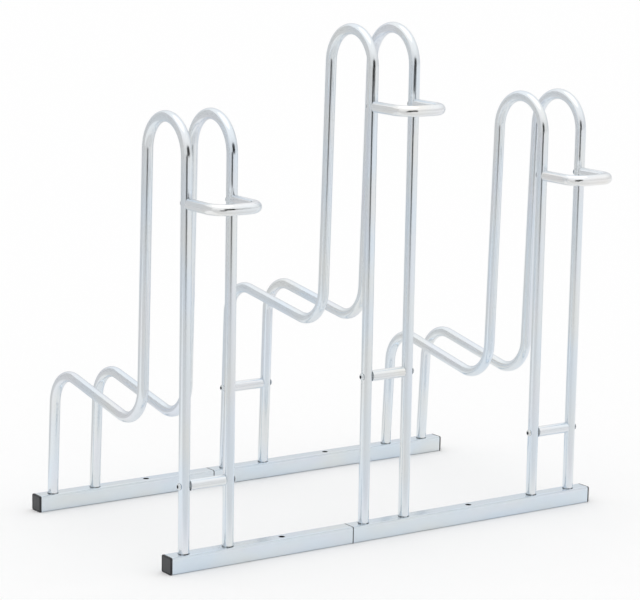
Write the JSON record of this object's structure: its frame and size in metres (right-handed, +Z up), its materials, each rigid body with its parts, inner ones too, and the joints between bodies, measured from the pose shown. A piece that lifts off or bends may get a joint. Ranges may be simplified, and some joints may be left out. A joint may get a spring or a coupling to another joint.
{
  "type": "floor bike rack",
  "caption": "Floor bike rack of bent zinc-plated tube on square base rails: low and tall wheel holders, each with a steadying hoop, bolted together and drilled for floor anchors.",
  "frame": {"origin": "centre of the rectangle of four floor anchor holes, on the floor plane under the rails", "axes": "+X along the base rails towards the long rail pieces, +Y from the hoop side to the rear rail, +Z up"},
  "size_m": [0.759, 0.4785, 0.75],
  "materials": {
    "zinc_rail": "bright zinc plate, satin",
    "sleeve_black": "black coated steel, matt",
    "cap_plastic": "moulded black, fine grain",
    "zinc_tube": "bright zinc plate, satin gloss",
    "zinc_crossbar": "bright zinc plate, satin gloss",
    "zinc_hoop": "bright zinc plate, satin gloss",
    "screw_zinc": "bright zinc plate",
    "plug_steel": "plain zinc plate"
  },
  "bodies": {
    "root": {"rail_front_short": "zinc_rail", "rail_front_long": "zinc_rail", "rail_rear_short": "zinc_rail", "rail_rear_long": "zinc_rail", "sleeve_front": "sleeve_black", "sleeve_rear": "sleeve_black", "end_cap_front_left": "cap_plastic", "end_cap_front_right": "cap_plastic", "end_cap_rear_left": "cap_plastic", "end_cap_rear_right": "cap_plastic", "left_holder_left_tube": "zinc_tube", "left_holder_right_tube": "zinc_tube", "middle_holder_left_tube": "zinc_tube", "middle_holder_right_tube": "zinc_tube", "right_holder_left_tube": "zinc_tube", "right_holder_right_tube": "zinc_tube", "left_crossbar": "zinc_crossbar", "middle_crossbar": "zinc_crossbar", "right_crossbar": "zinc_crossbar", "middle_rear_crossbar": "zinc_crossbar", "left_hoop": "zinc_hoop", "middle_hoop": "zinc_hoop", "right_hoop": "zinc_hoop", "crossbar_screws": "screw_zinc", "hoop_screws": "screw_zinc", "foot_screws": "screw_zinc", "crossbar_plugs": "plug_steel", "hoop_plugs": "plug_steel", "foot_plugs": "plug_steel"}
  },
  "joints": []
}
